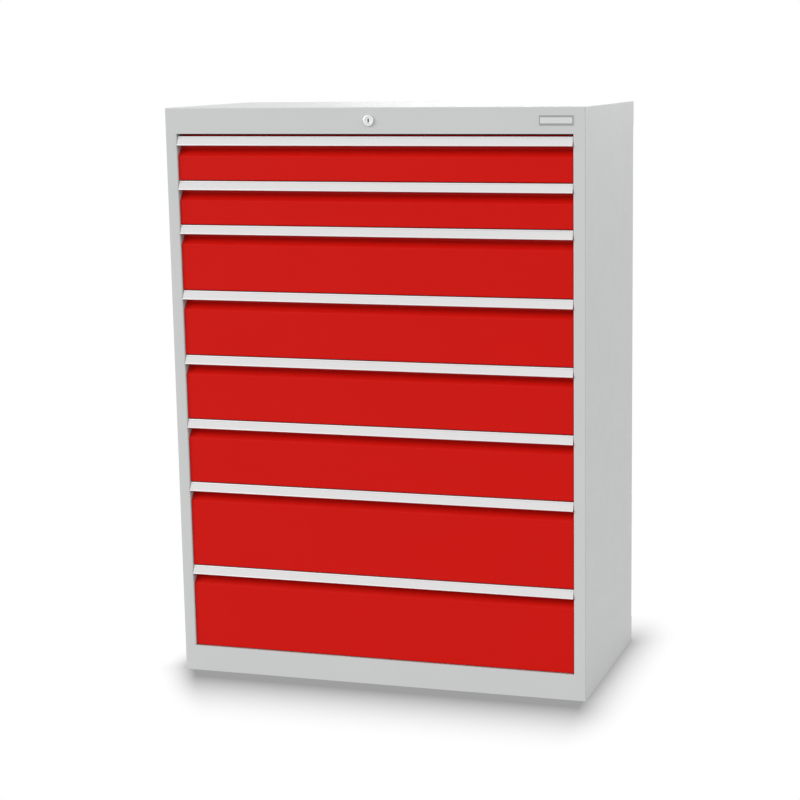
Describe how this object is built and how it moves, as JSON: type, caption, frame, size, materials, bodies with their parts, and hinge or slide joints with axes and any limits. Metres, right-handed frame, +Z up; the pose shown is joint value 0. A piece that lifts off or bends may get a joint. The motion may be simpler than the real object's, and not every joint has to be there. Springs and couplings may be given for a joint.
{
  "type": "drawer cabinet",
  "caption": "Floor-standing steel drawer cabinet: grey folded housing, red fronts with a finger recess under aluminium grips, full-extension runners and a central lock.",
  "frame": {"origin": "middle of the overall footprint, on the floor", "axes": "+X to the right seen from the front, +Y from front to back, +Z up"},
  "size_m": [0.976, 0.504, 1.32],
  "materials": {
    "housing_grey": "fine powder coat, satin",
    "drawer_red": "fine powder coat, satin",
    "tray_grey": "fine powder coat, satin",
    "bare_aluminium": "natural anodised, matt",
    "zinc_steel": "bright zinc plating",
    "lock_chrome": "polished chrome plating"
  },
  "bodies": {
    "housing": {"left_side_panel": "housing_grey", "right_side_panel": "housing_grey", "top_cover": "housing_grey", "plinth": "housing_grey", "floor_pan": "housing_grey", "back_panel": "housing_grey", "back_panel_rivets": "zinc_steel", "left_uprights": "zinc_steel", "right_uprights": "zinc_steel", "left_cabinet_rails": "zinc_steel", "right_cabinet_rails": "zinc_steel", "badge_plate": "bare_aluminium", "lock_housing": "lock_chrome", "lock_nut": "zinc_steel", "shaft_bracket": "zinc_steel", "lock_bar_guides": "zinc_steel"},
    "lock_cylinder": {"lock_barrel": "lock_chrome", "lock_shaft": "zinc_steel", "lock_crank": "zinc_steel"},
    "lock_bar": {"lock_bar": "zinc_steel"},
    "drawer_1": {"drawer_1_front": "drawer_red", "drawer_1_grip": "bare_aluminium", "drawer_1_tray": "tray_grey", "drawer_1_inner_rails": "zinc_steel"},
    "drawer_1_middle_rails": {"drawer_1_middle_rails": "zinc_steel"},
    "drawer_2": {"drawer_2_front": "drawer_red", "drawer_2_grip": "bare_aluminium", "drawer_2_tray": "tray_grey", "drawer_2_inner_rails": "zinc_steel"},
    "drawer_2_middle_rails": {"drawer_2_middle_rails": "zinc_steel"},
    "drawer_3": {"drawer_3_front": "drawer_red", "drawer_3_grip": "bare_aluminium", "drawer_3_tray": "tray_grey", "drawer_3_inner_rails": "zinc_steel"},
    "drawer_3_middle_rails": {"drawer_3_middle_rails": "zinc_steel"},
    "drawer_4": {"drawer_4_front": "drawer_red", "drawer_4_grip": "bare_aluminium", "drawer_4_tray": "tray_grey", "drawer_4_inner_rails": "zinc_steel"},
    "drawer_4_middle_rails": {"drawer_4_middle_rails": "zinc_steel"},
    "drawer_5": {"drawer_5_front": "drawer_red", "drawer_5_grip": "bare_aluminium", "drawer_5_tray": "tray_grey", "drawer_5_inner_rails": "zinc_steel"},
    "drawer_5_middle_rails": {"drawer_5_middle_rails": "zinc_steel"},
    "drawer_6": {"drawer_6_front": "drawer_red", "drawer_6_grip": "bare_aluminium", "drawer_6_tray": "tray_grey", "drawer_6_inner_rails": "zinc_steel"},
    "drawer_6_middle_rails": {"drawer_6_middle_rails": "zinc_steel"},
    "drawer_7": {"drawer_7_front": "drawer_red", "drawer_7_grip": "bare_aluminium", "drawer_7_tray": "tray_grey", "drawer_7_inner_rails": "zinc_steel"},
    "drawer_7_middle_rails": {"drawer_7_middle_rails": "zinc_steel"},
    "drawer_8": {"drawer_8_front": "drawer_red", "drawer_8_grip": "bare_aluminium", "drawer_8_tray": "tray_grey", "drawer_8_inner_rails": "zinc_steel"},
    "drawer_8_middle_rails": {"drawer_8_middle_rails": "zinc_steel"}
  },
  "joints": [
    {"name": "lock_turn", "type": "hinge", "parent": "housing", "child": "lock_cylinder", "pos_m": [0, -0.248, 1.291], "axis": [0, 1, 0], "range_deg": [0, 90]},
    {"name": "lock_bar_lift", "type": "slide", "parent": "housing", "child": "lock_bar", "axis": [0, 0, 1], "range_m": [0, 0.0198]},
    {"name": "drawer_1_slide", "type": "slide", "parent": "housing", "child": "drawer_1", "axis": [0, -1, 0], "range_m": [0, 0.4]},
    {"name": "drawer_1_middle_slide", "type": "slide", "parent": "housing", "child": "drawer_1_middle_rails", "axis": [0, -1, 0], "range_m": [0, 0.2]},
    {"name": "drawer_2_slide", "type": "slide", "parent": "housing", "child": "drawer_2", "axis": [0, -1, 0], "range_m": [0, 0.4]},
    {"name": "drawer_2_middle_slide", "type": "slide", "parent": "housing", "child": "drawer_2_middle_rails", "axis": [0, -1, 0], "range_m": [0, 0.2]},
    {"name": "drawer_3_slide", "type": "slide", "parent": "housing", "child": "drawer_3", "axis": [0, -1, 0], "range_m": [0, 0.4]},
    {"name": "drawer_3_middle_slide", "type": "slide", "parent": "housing", "child": "drawer_3_middle_rails", "axis": [0, -1, 0], "range_m": [0, 0.2]},
    {"name": "drawer_4_slide", "type": "slide", "parent": "housing", "child": "drawer_4", "axis": [0, -1, 0], "range_m": [0, 0.4]},
    {"name": "drawer_4_middle_slide", "type": "slide", "parent": "housing", "child": "drawer_4_middle_rails", "axis": [0, -1, 0], "range_m": [0, 0.2]},
    {"name": "drawer_5_slide", "type": "slide", "parent": "housing", "child": "drawer_5", "axis": [0, -1, 0], "range_m": [0, 0.4]},
    {"name": "drawer_5_middle_slide", "type": "slide", "parent": "housing", "child": "drawer_5_middle_rails", "axis": [0, -1, 0], "range_m": [0, 0.2]},
    {"name": "drawer_6_slide", "type": "slide", "parent": "housing", "child": "drawer_6", "axis": [0, -1, 0], "range_m": [0, 0.4]},
    {"name": "drawer_6_middle_slide", "type": "slide", "parent": "housing", "child": "drawer_6_middle_rails", "axis": [0, -1, 0], "range_m": [0, 0.2]},
    {"name": "drawer_7_slide", "type": "slide", "parent": "housing", "child": "drawer_7", "axis": [0, -1, 0], "range_m": [0, 0.4]},
    {"name": "drawer_7_middle_slide", "type": "slide", "parent": "housing", "child": "drawer_7_middle_rails", "axis": [0, -1, 0], "range_m": [0, 0.2]},
    {"name": "drawer_8_slide", "type": "slide", "parent": "housing", "child": "drawer_8", "axis": [0, -1, 0], "range_m": [0, 0.4]},
    {"name": "drawer_8_middle_slide", "type": "slide", "parent": "housing", "child": "drawer_8_middle_rails", "axis": [0, -1, 0], "range_m": [0, 0.2]}
  ],
  "couplings": [
    {"joint": "lock_turn", "follows": "lock_bar_lift", "rad_per_m": 79.333},
    {"joint": "drawer_1_middle_slide", "follows": "drawer_1_slide", "ratio": 0.5},
    {"joint": "drawer_2_middle_slide", "follows": "drawer_2_slide", "ratio": 0.5},
    {"joint": "drawer_3_middle_slide", "follows": "drawer_3_slide", "ratio": 0.5},
    {"joint": "drawer_4_middle_slide", "follows": "drawer_4_slide", "ratio": 0.5},
    {"joint": "drawer_5_middle_slide", "follows": "drawer_5_slide", "ratio": 0.5},
    {"joint": "drawer_6_middle_slide", "follows": "drawer_6_slide", "ratio": 0.5},
    {"joint": "drawer_7_middle_slide", "follows": "drawer_7_slide", "ratio": 0.5},
    {"joint": "drawer_8_middle_slide", "follows": "drawer_8_slide", "ratio": 0.5}
  ]
}
